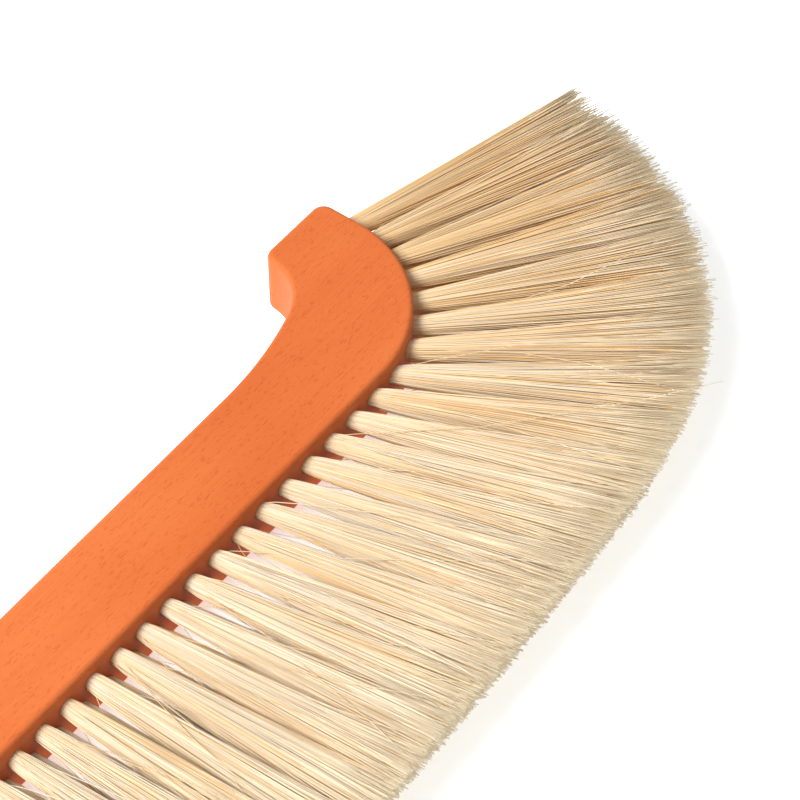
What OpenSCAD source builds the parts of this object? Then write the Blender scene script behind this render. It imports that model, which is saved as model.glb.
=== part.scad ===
// Bee brush: a one-piece wooden handle with a hooked tip, and two staggered rows of
// bristle tufts set in blind holes along one edge, each held by a flat anchor wire.
//
// The brush lies on its side. +X runs along the handle towards the hooked tip, the
// bristles point to -Y, and Z is the thickness of the board, from 0 at the underside.
// Shapes are drawn about the point where the straight bristle edge meets the bend,
// and are then moved so that the origin is under the middle of the whole brush.

/* [Board] */
// Width of the straight board, from the bristle edge to the spine
board_w = 22; // [20:0.5:26]
// Thickness of the board
board_t = 16; // [15:0.5:20]
// Length of the whole handle along X
handle_l = 360; // [350:5:400]
// Rounding along the edges of the bristled board
edge_r = 1.2; // [0.8:0.1:2.2]

/* [Hooked tip] */
// Radius of the outer bend, which is where the tufts fan out
bend_r = 30.5; // [28:0.5:34]
// Height of the flat end cut above the bristle edge
end_y = 40.4; // [39:0.2:44]
// Width of the hook at its end cut
end_w = 20.5; // [18:0.5:22]
// Radius of the tight curve inside the hook
inner_r = 13.6; // [11:0.2:16]
// Radius of the long curve that leads from the spine into the hook
spine_r = 90; // [70:5:120]
// Radius of the two corners of the end cut, seen from above
corner_r = 3; // [2.5:0.5:4]

/* [Grip] */
// Length of the round-edged grip, from the heel of the board to the end
grip_l = 166; // [160:2:180]
// Rounding along the edges of the grip
grip_edge_r = 4.6; // [3:0.2:5]
// How far the neck is cut in from the bristle edge
neck_cut = 5; // [2:0.5:7]
// How far the belly of the grip swells past the bristle edge
belly = 0.5; // [0:0.5:3]
// Diameter of the hanging hole
hang_d = 6; // [4:0.5:8]

/* [Tufts] */
// Number of tufts in the upper row; the lower row has one less, set between them
upper_tufts = 29; // [20:1:29]
// Distance between tufts on the straight edge
pitch = 7.5; // [7.5:0.1:8]
// Distance between tufts round the bend
bend_pitch = 6.6; // [6:0.1:7]
// Number of gaps between tufts that have the bend's pitch
bend_gaps = 6; // [4:1:7]
// Place of the tuft nearest the end cut, as a distance along the edge from the bend
first_tuft = 51.1; // [48:0.1:52]
// Distance between the two rows, from hole centre to hole centre
row_gap = 5.3; // [5:0.1:6]
// Diameter of a tuft hole
hole_d = 4; // [3.6:0.1:4.2]
// Depth of a tuft hole
hole_depth = 10; // [8:0.5:12]
// Length of bristle that stands out of the hole
bristle_l = 64; // [50:1:70]
// Diameter of a tuft at its tip
tuft_tip_d = 7.1; // [5:0.1:7.2]
// How far each row leans away from the middle of the board, in degrees
row_splay = 1.5; // [0.5:0.1:1.6]

/* [Anchor wires] */
// Length of a flat anchor wire; it bites into the wood on both sides of its hole
anchor_l = 4.8; // [4.4:0.1:5.2]
// Width of the wire, along the hole
anchor_w = 1.8; // [1.4:0.1:2]
// Thickness of the wire
anchor_t = 0.4; // [0.3:0.05:0.5]

/* [Hidden] */
$fn = 48;
heel_x = bend_r - handle_l + grip_l;
grip_end_x = bend_r - handle_l;

// Lean of the tufts towards the tip, in degrees from square to the straight edge,
// against the distance along the edge from the start of the bend
LEAN = [[-95, 0], [-8, 20], [51, 72]];

// Underside of the grip: how far it lies above the bristle edge at each place
knob_y = 1.5;
knob_r = (board_w - knob_y) / 2;
UNDERSIDE = [
    [grip_end_x + knob_r, knob_y],
    [grip_end_x + 0.2 * grip_l, 0.9 * neck_cut],
    [grip_end_x + 0.51 * grip_l, -belly],
    [heel_x - 0.16 * grip_l, neck_cut],
    [heel_x, 0]
];
// Rounding of the edges along the handle
ROUNDING = [[heel_x - 0.16 * grip_l, grip_edge_r], [heel_x, edge_r]];
underside_steps = 30;
arc_chord = 2.4;     // longest distance between the points of an arc of the outline
arc_points = 5;      // fewest steps in an arc
round_steps = 3;     // flats that make up one rounded edge
waste = 1;           // how far the rounding's waste reaches beyond the wood

// Tight inner curve and long spine curve of the hook, which meet on one tangent
spine_curve_x = -26; // where the spine begins to curve
inner_x = bend_r - end_w;
inner_centre_x = inner_x - inner_r;
meet_angle = asin((inner_centre_x - spine_curve_x) / (spine_r - inner_r));
inner_centre_y = board_w + spine_r - (spine_r - inner_r) * cos(meet_angle);
// The tight curve ends where the corner of the end cut begins
inner_end = asin((end_y - corner_r - inner_centre_y) / inner_r);
hook_x = inner_centre_x + inner_r * cos(inner_end);

// Place of tuft i along the edge, counted from the end cut; i may fall between two tufts
function place(i) =
    first_tuft - bend_pitch * min(i, bend_gaps) - pitch * max(i - bend_gaps, 0);

// Point of the bristle edge at distance s from the start of the bend
function edge_point(s) =
    let (quarter = bend_r * PI / 2, a = s / bend_r * 180 / PI)
    s <= 0 ? [s, 0]
    : s >= quarter ? [bend_r, bend_r + s - quarter]
    : [bend_r * sin(a), bend_r - bend_r * cos(a)];

// Value of a table of [place, value] rows at x, eased so that it is level at each row
function eased(x, table, i = 0) =
    x <= table[0][0] ? table[0][1]
    : i >= len(table) - 1 ? table[i][1]
    : x > table[i + 1][0] ? eased(x, table, i + 1)
    : let (t = (x - table[i][0]) / (table[i + 1][0] - table[i][0]))
      table[i][1] + (table[i + 1][1] - table[i][1]) * (1 - cos(180 * t)) / 2;

// Points of an arc about c, from angle a to angle b
function arc(c, r, a, b) =
    let (n = max(arc_points, ceil(r * abs(b - a) * PI / 180 / arc_chord)))
    [for (k = [0 : n]) let (t = a + (b - a) * k / n) c + r * [cos(t), sin(t)]];

// A list without its first point, which the arc before it has already drawn
function after(p) = [for (k = [1 : len(p) - 1]) p[k]];

// Outline of the handle seen from above, anticlockwise from the heel of the board
function outline() = concat(
    [[heel_x, 0]],
    arc([0, bend_r], bend_r, -90, 0),
    arc([bend_r - corner_r, end_y - corner_r], corner_r, 0, 90),
    arc([hook_x + corner_r, end_y - corner_r], corner_r, 90, 180),
    after(arc([inner_centre_x, inner_centre_y], inner_r, inner_end, meet_angle - 90)),
    after(arc([spine_curve_x, board_w + spine_r], spine_r, meet_angle - 90, -90)),
    arc([grip_end_x + knob_r, board_w - knob_r], knob_r, 90, 270),
    [for (k = [1 : underside_steps - 1])
        let (x = UNDERSIDE[0][0] + (heel_x - UNDERSIDE[0][0]) * k / underside_steps)
        [x, eased(x, UNDERSIDE)]]
);

function unit(v) = v / norm(v);

// Inward direction at point i of a closed outline
function inward(p, i) =
    let (
        n = len(p),
        t = unit(unit(p[(i + 1) % n] - p[i]) + unit(p[i] - p[(i + n - 1) % n]))
    )
    [-t[1], t[0]];

// The wood outside the rounding of the lower edge: a closed band that follows the
// outline, with the same section at each point of it
module edge_waste() {
    p = outline();
    n = len(p);
    m = round_steps + 4;
    // Section at one point: distance in from the outline and height, for a rounding r
    function section(r) = concat(
        [[r, -waste], [-waste, -waste], [-waste, r]],
        [for (k = [0 : round_steps]) let (a = 90 * k / round_steps) r * [1 - cos(a), 1 - sin(a)]]
    );
    points = [for (i = [0 : n - 1], q = section(eased(p[i][0], ROUNDING)))
        let (at = p[i] + inward(p, i) * q[0])
        [at[0], at[1], q[1]]];
    function corner(i, j) = (i % n) * m + j % m;
    polyhedron(points, [for (i = [0 : n - 1], j = [0 : m - 1], half = [0, 1])
        half == 0
        ? [corner(i, j), corner(i, j + 1), corner(i + 1, j)]
        : [corner(i + 1, j), corner(i, j + 1), corner(i + 1, j + 1)]]);
}

module rounded_board() {
    difference() {
        linear_extrude(board_t) polygon(outline());
        edge_waste();
        translate([0, 0, board_t]) mirror([0, 0, 1]) edge_waste();
    }
}

// Puts its children at tuft i of a row, with +Z along the tuft and 0 at the bristle edge
module at_tuft(row, i) {
    s = place(row == "upper" ? i : i + 0.5);
    side = row == "upper" ? 1 : -1;
    p = edge_point(s);
    translate([p[0], p[1], board_t / 2 + side * row_gap / 2])
        rotate([0, 0, lookup(s, LEAN)])
            rotate([90 - side * row_splay, 0, 0])
                children();
}

module tuft_hole() {
    translate([0, 0, -hole_depth]) cylinder(d = hole_d, h = hole_depth + board_w / 3);
}

// Flat wire that lies across the bottom of a tuft hole, inside the fold of the bristles
module anchor_wire() {
    translate([-anchor_l / 2, -anchor_t / 2, -hole_depth]) cube([anchor_l, anchor_t, anchor_w]);
}

module tuft_bundle() {
    collar = 2.5;
    difference() {
        union() {
            translate([0, 0, -hole_depth]) cylinder(d = hole_d, h = hole_depth + collar);
            translate([0, 0, collar])
                cylinder(d1 = hole_d, d2 = tuft_tip_d, h = bristle_l - collar);
        }
        anchor_wire();
    }
}

function tuft_count(row) = row == "upper" ? upper_tufts : upper_tufts - 1;

// Moves a shape drawn about the start of the bend so that the origin is under the
// middle of the whole brush
module placed() {
    top_lean = lookup(first_tuft, LEAN);
    tip_r = tuft_tip_d / 2;
    reach = bend_r + bristle_l * cos(row_splay) * sin(top_lean) + tip_r * cos(top_lean);
    translate([-(grip_end_x + reach) / 2, (bristle_l * cos(row_splay) - end_y) / 2, 0])
        children();
}

module handle() {
    color("#f08248") placed()
        difference() {
            rounded_board();
            for (row = ["upper", "lower"], i = [0 : tuft_count(row) - 1])
                at_tuft(row, i) {
                    tuft_hole();
                    anchor_wire();
                }
            translate([grip_end_x + knob_r, board_w - knob_r, -1])
                cylinder(d = hang_d, h = board_t + 2);
        }
}

module tuft(row, number) {
    color("#efe0c0") placed() at_tuft(row, tuft_count(row) - number) tuft_bundle();
}

module anchors(row) {
    color("#b8b8b8") placed()
        for (i = [0 : tuft_count(row) - 1]) at_tuft(row, i) anchor_wire();
}

// Tufts are numbered from the heel to the tip: tuft_upper_01 is the one nearest the grip
function number(k) = str(k < 10 ? "0" : "", k);
function tuft_node(row, k) = str("tuft_", row, "_", number(k));

handle();
anchors("upper");  // anchors_upper
anchors("lower");  // anchors_lower
for (row = ["upper", "lower"], k = [1 : tuft_count(row)])
    tuft(row, k);
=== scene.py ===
"""Bee brush: a stained beech handle with a hooked tip and two rows of fine filament tufts."""
import math

import bmesh
import bpy
import numpy as np
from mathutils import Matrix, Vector


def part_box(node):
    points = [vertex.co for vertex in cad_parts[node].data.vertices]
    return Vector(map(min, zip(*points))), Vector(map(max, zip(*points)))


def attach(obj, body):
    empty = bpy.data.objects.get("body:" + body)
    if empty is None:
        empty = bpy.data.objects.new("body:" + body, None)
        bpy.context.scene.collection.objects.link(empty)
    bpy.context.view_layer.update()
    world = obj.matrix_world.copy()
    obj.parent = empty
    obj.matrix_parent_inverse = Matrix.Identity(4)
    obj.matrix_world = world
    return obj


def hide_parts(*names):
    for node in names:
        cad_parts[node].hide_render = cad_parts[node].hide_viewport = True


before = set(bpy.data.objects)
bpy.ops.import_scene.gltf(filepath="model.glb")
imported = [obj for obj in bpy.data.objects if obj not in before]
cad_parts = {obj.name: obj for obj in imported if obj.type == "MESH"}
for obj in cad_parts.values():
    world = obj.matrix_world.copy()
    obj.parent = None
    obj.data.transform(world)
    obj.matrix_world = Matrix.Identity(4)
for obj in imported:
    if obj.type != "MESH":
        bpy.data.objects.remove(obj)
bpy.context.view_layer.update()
MM = 0.001
UP = Vector((0, 0, 1))
WHITE = (1, 1, 1)

# ---------------------------------------------------------------- camera
VIEW_AZIMUTH = math.radians(-52.97)
VIEW_ELEVATION = math.radians(50)
VIEW_DISTANCE = 654.5 * MM
LENS_MM = 143.15
AIM_BEFORE_TIP = 35.0 * MM       # the camera looks at a point level with the board's upper face
AIM_BELOW_END_CUT = 47.9 * MM


def make_camera():
    """A camera that looks down on the hooked tip and the fan of tufts round it."""
    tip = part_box("handle")[1]
    aim = tip - Vector((AIM_BEFORE_TIP, AIM_BELOW_END_CUT, 0))
    level = math.cos(VIEW_ELEVATION)
    back = Vector((
        math.sin(VIEW_AZIMUTH) * level, -math.cos(VIEW_AZIMUTH) * level, math.sin(VIEW_ELEVATION)))
    data = bpy.data.cameras.new("view")
    data.lens = LENS_MM
    data.clip_start = 10 * MM
    camera = bpy.data.objects.new("view", data)
    camera.location = aim + back * VIEW_DISTANCE
    camera.rotation_mode = "QUATERNION"
    camera.rotation_quaternion = (-back).to_track_quat("-Z", "Y")
    bpy.context.scene.collection.objects.link(camera)
    bpy.context.scene.camera = camera


# ---------------------------------------------------------------- materials
def new_material(name):
    """A new material, its node tree and its surface shader."""
    material = bpy.data.materials.new(name)
    material.use_nodes = True
    return material, material.node_tree, material.node_tree.nodes["Principled BSDF"]


def add(tree, kind, **settings):
    """A new node of a kind, with its settings."""
    node = tree.nodes.new(kind)
    for key, value in settings.items():
        setattr(node, key, value)
    return node


def ramp(tree, source, stops):
    """A colour ramp on source, with two stops of (place, colour)."""
    node = add(tree, "ShaderNodeValToRGB")
    for stop, (place, colour) in zip(node.color_ramp.elements, stops):
        stop.position = place
        stop.color = (*colour, 1)
    tree.links.new(source, node.inputs["Fac"])
    return node.outputs["Color"]


def noise(tree, coordinates, stretch, scale, detail=2.0, roughness=0.5):
    """Noise in object space, stretched by a factor along each axis."""
    mapping = add(tree, "ShaderNodeMapping")
    mapping.inputs["Scale"].default_value = stretch
    tree.links.new(coordinates, mapping.inputs["Vector"])
    node = add(tree, "ShaderNodeTexNoise")
    node.inputs["Scale"].default_value = scale
    node.inputs["Detail"].default_value = detail
    node.inputs["Roughness"].default_value = roughness
    tree.links.new(mapping.outputs["Vector"], node.inputs["Vector"])
    return node.outputs["Fac"]


FACTOR, FIRST, SECOND = 0, 6, 7  # inputs of a node that mixes colours
RESULT = 2                       # and its output


def multiply(tree, first, second):
    """Multiplies two colour sockets."""
    node = add(tree, "ShaderNodeMix", data_type="RGBA", blend_type="MULTIPLY")
    node.inputs[FACTOR].default_value = 1.0
    tree.links.new(first, node.inputs[FIRST])
    tree.links.new(second, node.inputs[SECOND])
    return node.outputs[RESULT]


STAIN_DARK = (0.64, 0.145, 0.036)
STAIN_LIGHT = (0.72, 0.185, 0.052)
FIBRE_SHADE = (0.95, 0.92, 0.90)
FLECK_SHADE = (0.90, 0.80, 0.75)
GRAIN_SCALE = 2600               # noise scale of the fibres and of the flecks


def stained_wood(name, shade=1.0):
    """Orange-stained beech: fine fibres and ray flecks along X; a shade below 1 darkens it as painted
    shade.
    """
    material, tree, surface = new_material(name)
    place = add(tree, "ShaderNodeTexCoord").outputs["Object"]
    cloud = noise(tree, place, stretch=(0.35, 1, 1), scale=45, detail=3)
    fibre = noise(tree, place, stretch=(0.03, 1, 1), scale=GRAIN_SCALE)
    fleck = noise(tree, place, stretch=(0.28, 1, 1), scale=GRAIN_SCALE, detail=1, roughness=0.4)
    dark, light = ([c * shade for c in colour] for colour in (STAIN_DARK, STAIN_LIGHT))
    body = ramp(tree, cloud, [(0.3, dark), (0.7, light)])
    fibres = ramp(tree, fibre, [(0.3, FIBRE_SHADE), (0.7, WHITE)])
    flecks = ramp(tree, fleck, [(0.60, WHITE), (0.70, FLECK_SHADE)])
    colour = multiply(tree, multiply(tree, body, fibres), flecks)
    tree.links.new(colour, surface.inputs["Base Color"])
    rough = add(tree, "ShaderNodeMapRange")
    rough.inputs["To Min"].default_value = 0.42
    rough.inputs["To Max"].default_value = 0.60
    tree.links.new(fibre, rough.inputs["Value"])
    tree.links.new(rough.outputs["Result"], surface.inputs["Roughness"])
    bump = add(tree, "ShaderNodeBump")
    bump.inputs["Strength"].default_value = 0.25
    bump.inputs["Distance"].default_value = 0.05 * MM
    tree.links.new(flecks, bump.inputs["Height"])
    tree.links.new(bump.outputs["Normal"], surface.inputs["Normal"])
    surface.inputs["Specular IOR Level"].default_value = 0.13
    return material


# Colour of each shade, its share along the straight edge and its share round the bend; painted light and
# shade: the paler shares along the straight edge and the tanner ones round the bend stand for how the
# light falls on those tufts
FILAMENT_SHADES = {
    "pale": ((0.84, 0.75, 0.60), 0.12, 0.00),
    "ivory": ((0.84, 0.71, 0.52), 0.36, 0.00),
    "cream": ((0.85, 0.67, 0.44), 0.32, 0.16),
    "straw": ((0.86, 0.62, 0.33), 0.14, 0.60),
    "wheat": ((0.85, 0.58, 0.28), 0.05, 0.22),
    "tan": ((0.80, 0.52, 0.25), 0.01, 0.02),
}
TIP_PAINTED_LIGHT = (1.0, 0.87, 0.64)   # painted light: filaments are paler towards their tips, against the shade among their ragged ends
TIP_SHARE = 0.8                  # how much of the painted-light tip colour a tip has


def filament_materials():
    """One material for each shade of filament, and then a paler painted-light one for the tips of each.
    """
    made = []
    shades = [(name, Vector(colour)) for name, (colour, _, _) in FILAMENT_SHADES.items()]
    # painted light: each tip material is its shade moved towards a paler tip colour
    shades += [(name + "_tip", colour.lerp(Vector(TIP_PAINTED_LIGHT), TIP_SHARE)) for name, colour in shades]
    for name, colour in shades:
        material, _, surface = new_material("bristle_" + name)
        surface.inputs["Base Color"].default_value = (*colour, 1)
        surface.inputs["Roughness"].default_value = 0.45
        surface.inputs["Specular IOR Level"].default_value = 0.3
        made.append(material)
    return made


def drawn_wire():
    """Flat steel wire, with fine lines from drawing it."""
    material, tree, surface = new_material("drawn_wire")
    place = add(tree, "ShaderNodeTexCoord").outputs["Object"]
    lines = noise(tree, place, stretch=(0.1, 1, 1), scale=3000)
    colour = ramp(tree, lines, [(0.3, (0.42, 0.42, 0.41)), (0.7, (0.60, 0.60, 0.58))])
    tree.links.new(colour, surface.inputs["Base Color"])
    surface.inputs["Metallic"].default_value = 1.0
    surface.inputs["Roughness"].default_value = 0.38
    return material


# ---------------------------------------------------------------- handle
BOARD_W = 22 * MM
BEND_R = 30.5 * MM
END_Y = 40.4 * MM
END_W = 20.5 * MM
INNER_R = 13.6 * MM
SPINE_R = 90 * MM
SPINE_CURVE = 26 * MM            # the spine begins to curve this far before the bend
CORNER_R = 3 * MM
GRIP_L = 166 * MM
EDGE_R = 1.2 * MM
GRIP_EDGE_R = 4.6 * MM
NECK_CUT = 5 * MM                # how far the neck is cut in from the bristle edge
NECK_PLACE = 0.16 * GRIP_L       # its distance from the heel of the board
BELLY = 0.5 * MM                 # how far the grip swells past the bristle edge
BELLY_PLACE = 0.51 * GRIP_L      # its distance from the grip's end
WAIST_CUT = 0.9 * NECK_CUT       # the grip is narrow again between its belly and its knob
WAIST_PLACE = 0.2 * GRIP_L
KNOB_Y = 1.5 * MM
KNOB_R = (BOARD_W - KNOB_Y) / 2
HANG_R = 3 * MM
HANG_CHAMFER = 0.8 * MM
HOLE_R = 2.0 * MM
HOLE_DEPTH = 9.8 * MM
HOLE_WALL_PAINTED_SHADE = 0.75           # painted shade: the wood inside the holes is darker, for the shade that falls in them
CUTTER_REACH = 6 * MM            # how far the cutter of a tuft hole stands out of the wood
CUTTER_OVER = 1 * MM             # the same for the cutter of the hanging hole
OUTLINE_STEP = 0.5 * MM
ARC_STEPS = 4                    # fewest steps in an arc
ROUND_STEPS = 8                  # flats that make up one rounded edge
FLAT_MARGIN = 0.6 * MM           # keeps the shading of the flat faces flat
SMOOTH_ANGLE = math.radians(38)


def arc(cx, cy, r, first, last):
    """Points of an arc from one angle to another, in degrees, without its first point."""
    n = max(ARC_STEPS, math.ceil(r * math.radians(abs(last - first)) / OUTLINE_STEP))
    turns = (math.radians(first + (last - first) * k / n) for k in range(1, n + 1))
    return [(cx + r * math.cos(t), cy + r * math.sin(t)) for t in turns]


def eased(x, table):
    """Value of a table of (place, value) rows at x, level at each row."""
    if x <= table[0][0]:
        return table[0][1]
    for (x0, y0), (x1, y1) in zip(table, table[1:]):
        if x <= x1:
            return y0 + (y1 - y0) * (1 - math.cos(math.pi * (x - x0) / (x1 - x0))) / 2
    return table[-1][1]


def handle_outline(grip_end, heel):
    """Outline seen from above, anticlockwise, about the start of the bend on the bristle edge."""
    inner_x = BEND_R - END_W - INNER_R
    meet = math.degrees(math.asin((inner_x + SPINE_CURVE) / (SPINE_R - INNER_R)))
    inner_y = BOARD_W + SPINE_R - (SPINE_R - INNER_R) * math.cos(math.radians(meet))
    inner_end = math.degrees(math.asin((END_Y - CORNER_R - inner_y) / INNER_R))
    hook_x = inner_x + INNER_R * math.cos(math.radians(inner_end))
    knob_x = grip_end + KNOB_R
    underside = [
        (knob_x, KNOB_Y),
        (grip_end + WAIST_PLACE, WAIST_CUT),
        (grip_end + BELLY_PLACE, -BELLY),
        (heel - NECK_PLACE, NECK_CUT),
        (heel, 0),
    ]
    steps = round((heel - knob_x) / (2 * OUTLINE_STEP))
    xs = [knob_x + (heel - knob_x) * k / steps for k in range(1, steps + 1)]
    return (
        [(0, 0)]
        + arc(0, BEND_R, BEND_R, -90, 0)
        + [(BEND_R, END_Y - CORNER_R)]
        + arc(BEND_R - CORNER_R, END_Y - CORNER_R, CORNER_R, 0, 90)
        + [(hook_x + CORNER_R, END_Y)]
        + arc(hook_x + CORNER_R, END_Y - CORNER_R, CORNER_R, 90, 180)
        + arc(inner_x, inner_y, INNER_R, inner_end, meet - 90)
        + arc(-SPINE_CURVE, BOARD_W + SPINE_R, SPINE_R, meet - 90, -90)
        + [(knob_x, BOARD_W)]
        + arc(knob_x, BOARD_W - KNOB_R, KNOB_R, 90, 270)
        + [(x, eased(x, underside)) for x in xs]
    )


def board_mesh(bm, outline, rounding, thickness):
    """A board with rounded edges: rings of the outline, drawn in and up round each edge."""
    p = np.array(outline)
    ahead = np.roll(p, -1, 0) - p
    ahead /= np.linalg.norm(ahead, axis=1)[:, None]
    along = ahead + np.roll(ahead, 1, 0)
    along /= np.linalg.norm(along, axis=1)[:, None]
    inward = np.stack([-along[:, 1], along[:, 0]], 1)
    turns = np.linspace(0, math.pi / 2, ROUND_STEPS + 1)
    rings = [(rounding + FLAT_MARGIN, np.zeros(len(p)))]
    rings += [(rounding * (1 - math.sin(t)), rounding * (1 - math.cos(t))) for t in turns]
    rings += [(inset, thickness - height) for inset, height in reversed(rings)]
    loops = []
    for inset, height in rings:
        q = p + inward * inset[:, None]
        loops.append([bm.verts.new((x, y, z)) for (x, y), z in zip(q, height)])
    bm.faces.new(reversed(loops[0]))
    bm.faces.new(loops[-1])
    for low, high in zip(loops, loops[1:]):
        for i in range(len(low)):
            j = (i + 1) % len(low)
            bm.faces.new((low[i], low[j], high[j], high[i]))


def lathe(bm, start, axis, sections, sides=40):
    """A closed solid of revolution about axis, from sections of (distance along it, radius)."""
    side = axis.orthogonal().normalized()
    other = axis.cross(side)
    loops = []
    for distance, radius in sections:
        loops.append([
            bm.verts.new(start + axis * distance + (side * math.cos(t) + other * math.sin(t)) * radius)
            for t in (2 * math.pi * k / sides for k in range(sides))
        ])
    bm.faces.new(reversed(loops[0]))
    bm.faces.new(loops[-1])
    for low, high in zip(loops, loops[1:]):
        for i in range(sides):
            j = (i + 1) % sides
            bm.faces.new((low[i], low[j], high[j], high[i]))


def mesh_object(name, build, materials):
    """An object whose mesh is made by build(bm)."""
    bm = bmesh.new()
    build(bm)
    mesh = bpy.data.meshes.new(name)
    bm.to_mesh(mesh)
    bm.free()
    for material in materials:
        mesh.materials.append(material)
    piece = bpy.data.objects.new(name, mesh)
    bpy.context.scene.collection.objects.link(piece)
    return piece


def apply_modifiers(piece):
    """Puts the result of a piece's modifiers in its mesh."""
    evaluated = piece.evaluated_get(bpy.context.evaluated_depsgraph_get())
    mesh = bpy.data.meshes.new_from_object(evaluated)
    piece.modifiers.clear()
    piece.data = mesh


def make_handle(tufts):
    """The board with its hook and grip, its tuft holes and its hanging hole."""
    low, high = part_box("handle")
    corner = Vector((high.x - BEND_R, high.y - END_Y, 0))
    grip_end = low.x - corner.x
    heel = grip_end + GRIP_L
    outline = [(x + corner.x, y + corner.y) for x, y in handle_outline(grip_end, heel)]
    table = [(corner.x + heel - NECK_PLACE, GRIP_EDGE_R), (corner.x + heel, EDGE_R)]
    rounding = np.array([eased(x, table) for x, _ in outline])
    wood = stained_wood("stained_wood")
    piece = mesh_object("handle_wood", lambda bm: board_mesh(bm, outline, rounding, high.z), [wood])

    hang = Vector((low.x + KNOB_R, corner.y + BOARD_W - KNOB_R, 0))
    wide = HANG_R + HANG_CHAMFER + CUTTER_OVER

    def cut_holes(bm):
        for tuft in tufts:
            bottom = tuft.face - tuft.axis * HOLE_DEPTH
            lathe(bm, bottom, tuft.axis, [(0, HOLE_R), (HOLE_DEPTH + CUTTER_REACH, HOLE_R)])
        lathe(bm, hang, UP, [
            (-CUTTER_OVER, wide), (HANG_CHAMFER, HANG_R),
            (high.z - HANG_CHAMFER, HANG_R), (high.z + CUTTER_OVER, wide)])

    # painted shade: the walls of the holes get the wood darkened for the shade in them
    cutter = mesh_object("holes", cut_holes, [stained_wood("hole_wall_painted_shade", HOLE_WALL_PAINTED_SHADE)])
    cut = piece.modifiers.new("holes", "BOOLEAN")
    cut.object = cutter
    cut.operation = "DIFFERENCE"
    cut.solver = "EXACT"
    cut.material_mode = "TRANSFER"
    apply_modifiers(piece)
    bpy.data.objects.remove(cutter)
    piece.data.shade_smooth()
    piece.data.set_sharp_from_angle(angle=SMOOTH_ANGLE)
    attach(piece, "root")
    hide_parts("handle")


# ---------------------------------------------------------------- tufts
BRISTLE_L = 64 * MM
COLLAR = 2.5 * MM                # where a tuft's CAD solid turns from a cylinder to a cone
FILAMENTS = 580
FILAMENT_R = 0.09 * MM
THICK_RANGE = (0.85, 1.15)       # a filament's radius, as a share of that
SIDES = 4
STATIONS = (0, 0.04, 0.12, 0.4)  # places of a filament's first rings, along its free length
PAINTED_LIGHT_FROM = (0.6, 0.95)      # range of the place of the next ring, where the painted-light tip colour starts

# Roots
ROOT_R = 1.86 * MM
ROOT_DEPTH = 8.5 * MM
ROOT_JITTER = 0.03 * MM
FLARE = 0.08                     # how much a tuft opens as it leaves its hole
FLARE_PLACE = 0.04               # place along a filament where it has mostly done so

# Spread of the tips, along the row and in height
SQUARE_SHARE = 0.8               # how square the section of a tuft is at its tip
SPACING_SHARE = 0.54             # half the width of a tuft's tip, as a share of the tufts' spacing
ROW_SPREAD = 4.5 * MM            # half the height that a row opens to at its tips
OUTER_SHARE = 0.35               # how much of its spread the end tuft has on its free side
INNER_SHARE = 1.35               # and on its other side
TIP_JITTER = np.array((0.32, 0.192)) * MM
CLUMPS = 22
CLUMP_PULL = 0.3                 # how far the filaments of a clump may be drawn together
BOW = 0.15 * MM                  # bend of one filament
CLUMP_BOW = 0.22 * MM            # bend that the filaments of a clump share
STRAYS = 0.006                   # share of filaments that stray
STRAY_SPREAD = np.array((11, 2)) * MM
STRAY_RISE = 2 * MM
STRAY_BOW = 8                    # how much more a stray filament bows

# Ends
RAGGED = 1.0 * MM                # how uneven the ends are
RAGGED_SHAPE = 3
SHORT = 0.10                     # share of filaments that are shorter still
SHORT_RANGE = (0.84, 0.98)
CUT_LEVEL = 12.3 * MM            # height at which the filaments have their full length
CUT_SLOPE = 0.3                  # how much shorter they are below that, as a share of the height

# Round the bend
BEND_TAUTER = 0.6                # how much less the filaments clump and bow
BEND_SLIMMER = 0.4               # how much later the tufts open, in the middle of the bend
BEND_THICKER = 0.12              # how much thicker the filaments are
BEND_FULLER = 0.3                # how many more filaments a tuft has

CLUMP_SHADE = 0.25               # share of filaments that have their clump's shade
FLOOR_GAP = 0.12 * MM            # lowest height of a filament's centre line


class Tuft:
    """The place of one tuft, read from its CAD solid."""

    def __init__(self, node):
        self.node = node
        points = np.array([v.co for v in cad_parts[node].data.vertices])
        points = np.unique(points.round(6), axis=0)
        middle = points.mean(0)
        along = np.linalg.svd(points - middle, full_matrices=False)[2][0]
        if along @ (middle - np.array(sum(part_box("handle"), Vector()) / 2)) < 0:
            along = -along
        height = points @ along
        ring = 0.5 * MM
        tip = points[height > height.max() - ring].mean(0)
        neck = points[abs(height - height.max() + BRISTLE_L - COLLAR) < ring].mean(0)
        self.axis = Vector(tip - neck).normalized()
        self.tip = Vector(tip)
        self.face = self.tip - self.axis * BRISTLE_L


def read_tufts():
    """All tufts, each with its spacing from its neighbours and the slant of their line of tips."""
    tufts = [Tuft(name) for name in sorted(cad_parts) if name.startswith("tuft_")]
    for row in ("upper", "lower"):
        members = [t for t in tufts if row in t.node]
        for i, tuft in enumerate(members):
            near = members[max(i - 1, 0):i] + members[i + 1:i + 2]
            tuft.spacing = sum((t.tip - tuft.tip).length for t in near) / len(near)
            tuft.end = i == len(members) - 1
            tuft.lean = max(tuft.axis.x, 0)
            tuft.round_bend = min(tuft.lean, 1) ** 2
            trimmed = near[-1].tip - near[0].tip if len(near) == 2 else near[0].tip - tuft.tip
            tuft.slant = trimmed.dot(tuft.axis) / trimmed.dot(tuft.axis.cross(UP))
    return tufts


def squared(disc, share):
    """Points of a disc moved part of the way to a square, so that neighbouring tufts close up."""
    u, v = disc.T
    a, b = 2 + u * u - v * v, 2 - u * u + v * v
    square = [np.sqrt(np.maximum(k + math.sqrt(8) * w, 0)) - np.sqrt(np.maximum(k - math.sqrt(8) * w, 0))
              for k, w in ((a, u), (b, v))]
    return disc * (1 - share) + np.stack(square, 1) / 2 * share


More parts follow.
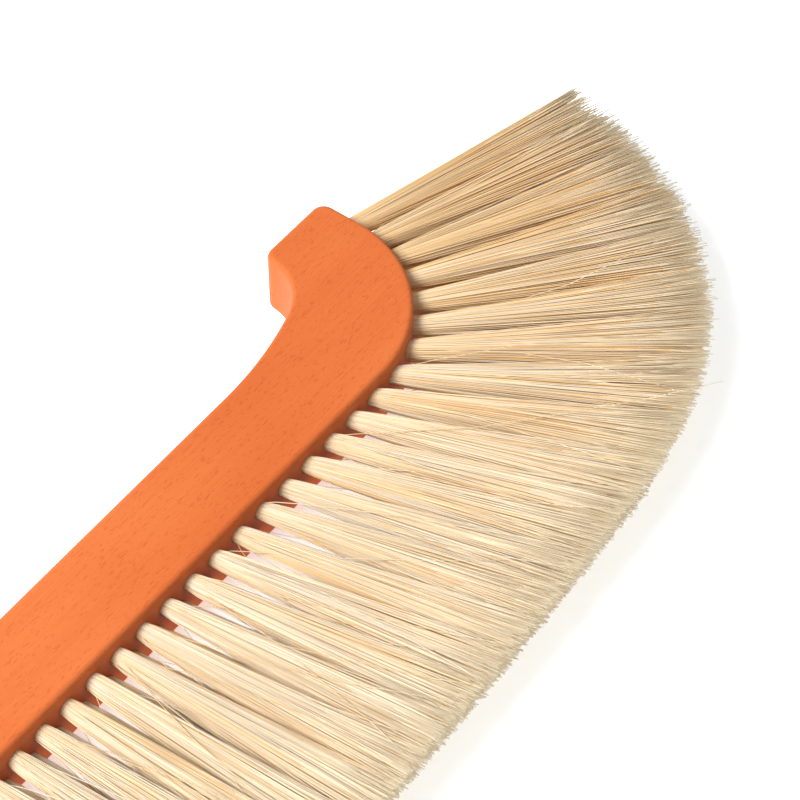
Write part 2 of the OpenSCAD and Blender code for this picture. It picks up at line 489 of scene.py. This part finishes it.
def sunflower(rng, n):
    """n points spread evenly over a disc of radius 1."""
    k = np.arange(n)
    radius = np.sqrt((k + 0.5) / n)
    angle = k * math.pi * (3 - math.sqrt(5)) + rng.uniform(0, 2 * math.pi)
    return np.stack([radius * np.cos(angle), radius * np.sin(angle)], 1)


def tips_and_bows(rng, tuft, disc):
    """Where each filament ends, from the tuft's axis, how it bows, and its clump."""
    n = len(disc)
    loose = 1 - BEND_TAUTER * tuft.round_bend
    opened = squared(disc, SQUARE_SHARE)
    seeds = opened[rng.choice(n, CLUMPS, replace=False)]
    clump = np.argmin(((opened[:, None] - seeds[None]) ** 2).sum(2), 1)
    pull = rng.uniform(0.0, CLUMP_PULL, CLUMPS)[clump][:, None] * loose
    tip = (opened * (1 - pull) + seeds[clump] * pull) * [SPACING_SHARE * tuft.spacing, ROW_SPREAD]
    tip += rng.normal(0, 1, (n, 2)) * TIP_JITTER
    stray = rng.uniform(0, 1, n) < (0 if tuft.end else STRAYS)
    tip[stray] += rng.normal(0, 1, (stray.sum(), 2)) * STRAY_SPREAD + [0, STRAY_RISE]
    if tuft.end:
        tip[:, 0] *= np.where(tip[:, 0] < 0, OUTER_SHARE, INNER_SHARE)
    bow = (rng.normal(0, BOW, (n, 2)) + rng.normal(0, CLUMP_BOW, (CLUMPS, 2))[clump]) * loose
    bow[stray] *= STRAY_BOW
    return tip, bow, clump


def free_lengths(rng, tuft, tip):
    """Length of each filament outside its hole: the ends follow the neighbouring tips, unevenly."""
    n = len(tip)
    length = BRISTLE_L - rng.gamma(RAGGED_SHAPE, RAGGED, n) + tip[:, 0] * tuft.slant
    length -= CUT_SLOPE * (CUT_LEVEL - tuft.tip.z - tip[:, 1])
    short = rng.uniform(0, 1, n) < SHORT
    length[short] *= rng.uniform(*SHORT_RANGE, short.sum())
    return length


def tube_faces(n, rings):
    """Faces of n tubes, each with its quads from root to tip, and then a cap for each tip."""
    base = (np.arange(n) * rings * SIDES)[:, None, None]
    ring = (np.arange(rings - 1) * SIDES)[None, :, None]
    side = np.arange(SIDES)[None, None]
    after = (side + 1) % SIDES
    quads = np.stack(np.broadcast_arrays(
        base + ring + side, base + ring + after,
        base + ring + SIDES + after, base + ring + SIDES + side), -1).reshape(-1, 4)
    caps = base[:, 0] + (rings - 1) * SIDES + np.arange(SIDES)[None]
    return np.concatenate([quads, caps])


def face_shades(rng, tuft, clump, rings):
    """Material number of each face of tube_faces: a filament's shade, and its tip's painted-light shade.
    """
    n = len(clump)
    loose = 1 - BEND_TAUTER * tuft.round_bend
    straight, bend = np.array([shares for _, *shares in FILAMENT_SHADES.values()]).T
    # painted light and shade: the mix runs from the paler straight-edge shares to the tanner ones round
    # the bend
    weights = straight + (bend - straight) * tuft.round_bend
    shade = rng.choice(len(weights), n, p=weights)
    clump_shade = rng.choice(len(weights), CLUMPS, p=weights)[clump]
    shade = np.where(rng.uniform(0, 1, n) < CLUMP_SHADE * loose, clump_shade, shade)
    # painted light: the last stretch of each filament and its cap take the paler tip material
    painted_light_tip = np.arange(rings - 1) == rings - 2
    per_quad = np.repeat(shade[:, None] + painted_light_tip * len(weights), SIDES, axis=1).ravel()
    return np.concatenate([per_quad, shade + len(weights)])


def filament_mesh(rng, tuft):
    """Vertices, faces and material numbers of a tuft's filaments."""
    n = round(FILAMENTS * (1 + BEND_FULLER * tuft.round_bend))
    axis = np.array(tuft.axis)
    across = np.array(tuft.axis.cross(UP).normalized())
    rise = np.array(tuft.axis.cross(Vector(across)).normalized()) * -1
    disc = sunflower(rng, n)
    root = disc * ROOT_R + rng.normal(0, ROOT_JITTER, (n, 2))
    tip, bow, clump = tips_and_bows(rng, tuft, disc)
    length = free_lengths(rng, tuft, tip)

    # Centre lines: each opens from its root to its tip
    steps = np.tile((-ROOT_DEPTH / BRISTLE_L, *STATIONS), (n, 1))
    # the last ring but one is where the painted-light tip colour starts
    steps = np.column_stack([steps, rng.uniform(*PAINTED_LIGHT_FROM, n), np.ones(n)])
    free = np.clip(steps, 0, 1)[..., None]
    opened = free ** (1 + BEND_SLIMMER * 4 * tuft.lean * (1 - tuft.lean))
    opened = (opened + FLARE * (1 - np.exp(-free / FLARE_PLACE))) / (1 + FLARE)
    offset = root[:, None] * (1 - opened) + tip[:, None] * opened
    offset = offset + bow[:, None] * np.sin(math.pi * free)
    along = np.where(steps < 0, -ROOT_DEPTH, steps * length[:, None])
    line = (np.array(tuft.face) + axis * along[..., None]
            + across * offset[..., :1] + rise * offset[..., 1:])
    line[..., 2] = np.maximum(line[..., 2], FLOOR_GAP)

    # Tubes round them
    thick = FILAMENT_R * (1 + BEND_THICKER * tuft.round_bend) * rng.uniform(*THICK_RANGE, n)
    spin = rng.uniform(0, 2 * math.pi, n)[:, None] + np.arange(SIDES) * 2 * math.pi / SIDES
    section = across * np.cos(spin)[..., None] + rise * np.sin(spin)[..., None]
    verts = line[:, :, None] + section[:, None] * thick[:, None, None, None]
    rings = steps.shape[1]
    return verts.reshape(-1, 3), tube_faces(n, rings), face_shades(rng, tuft, clump, rings)


def make_tuft(tuft, number, materials):
    """The piece of one tuft; its number is the seed of what is random in it."""
    verts, faces, shades = filament_mesh(np.random.default_rng(number), tuft)
    mesh = bpy.data.meshes.new(tuft.node + "_filaments")
    mesh.from_pydata(verts.tolist(), [], faces.tolist())
    for material in materials:
        mesh.materials.append(material)
    mesh.polygons.foreach_set("material_index", shades.astype(np.int32))
    mesh.shade_smooth()
    mesh.update()
    piece = bpy.data.objects.new(tuft.node + "_filaments", mesh)
    bpy.context.scene.collection.objects.link(piece)
    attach(piece, "root")
    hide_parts(tuft.node)


# ---------------------------------------------------------------- stage
FLOOR_COLOUR = (0.87, 0.90, 0.92)
FLOOR_GLOW = (0.95, 0.98, 1)     # the floor's own light, which keeps the shadows pale
FLOOR_GLOW_STRENGTH = 0.52
FLOOR_HALF_SIDE = 4.0
SKY_STRENGTH = 0.42
KEY_AIM = Vector((0.1, 0, 0))
KEY_DIRECTION = Vector((-0.60, 0.24, 0.76))
KEY_DISTANCE = 1.6
KEY_SIZE = 0.7
KEY_POWER = 32.5
DIFFUSE_BOUNCES = 12             # light passes between many pale filaments


def make_floor():
    """A wide white floor at z = 0."""
    material, _, surface = new_material("pale_floor")
    surface.inputs["Base Color"].default_value = (*FLOOR_COLOUR, 1)
    surface.inputs["Roughness"].default_value = 0.9
    surface.inputs["Specular IOR Level"].default_value = 0.0
    surface.inputs["Emission Color"].default_value = (*FLOOR_GLOW, 1)
    surface.inputs["Emission Strength"].default_value = FLOOR_GLOW_STRENGTH
    floor = mesh_object("floor", lambda bm: bmesh.ops.create_grid(
        bm, x_segments=1, y_segments=1, size=FLOOR_HALF_SIDE), [material])


def make_lights():
    """An even white sky, and a square key light beyond the spine, on the grip's side."""
    world = bpy.data.worlds.new("studio")
    bpy.context.scene.world = world
    world.use_nodes = True
    sky = world.node_tree.nodes["Background"]
    sky.inputs["Color"].default_value = (*WHITE, 1)
    sky.inputs["Strength"].default_value = SKY_STRENGTH
    data = bpy.data.lights.new("key", "AREA")
    data.shape = "SQUARE"
    data.size = KEY_SIZE
    data.energy = KEY_POWER
    key = bpy.data.objects.new("key", data)
    key.location = KEY_AIM + KEY_DIRECTION * KEY_DISTANCE
    key.rotation_mode = "QUATERNION"
    key.rotation_quaternion = (-KEY_DIRECTION).to_track_quat("-Z", "Y")
    bpy.context.scene.collection.objects.link(key)


# ---------------------------------------------------------------- the scene
scene = bpy.context.scene
scene.view_settings.view_transform = "Standard"
scene.cycles.diffuse_bounces = DIFFUSE_BOUNCES
make_camera()
tufts = read_tufts()
make_handle(tufts)
shades = filament_materials()
for number, tuft in enumerate(tufts):
    make_tuft(tuft, number, shades)
wire = drawn_wire()
for node in ("anchors_upper", "anchors_lower"):
    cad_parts[node].data.materials.clear()
    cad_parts[node].data.materials.append(wire)
make_floor()
make_lights()
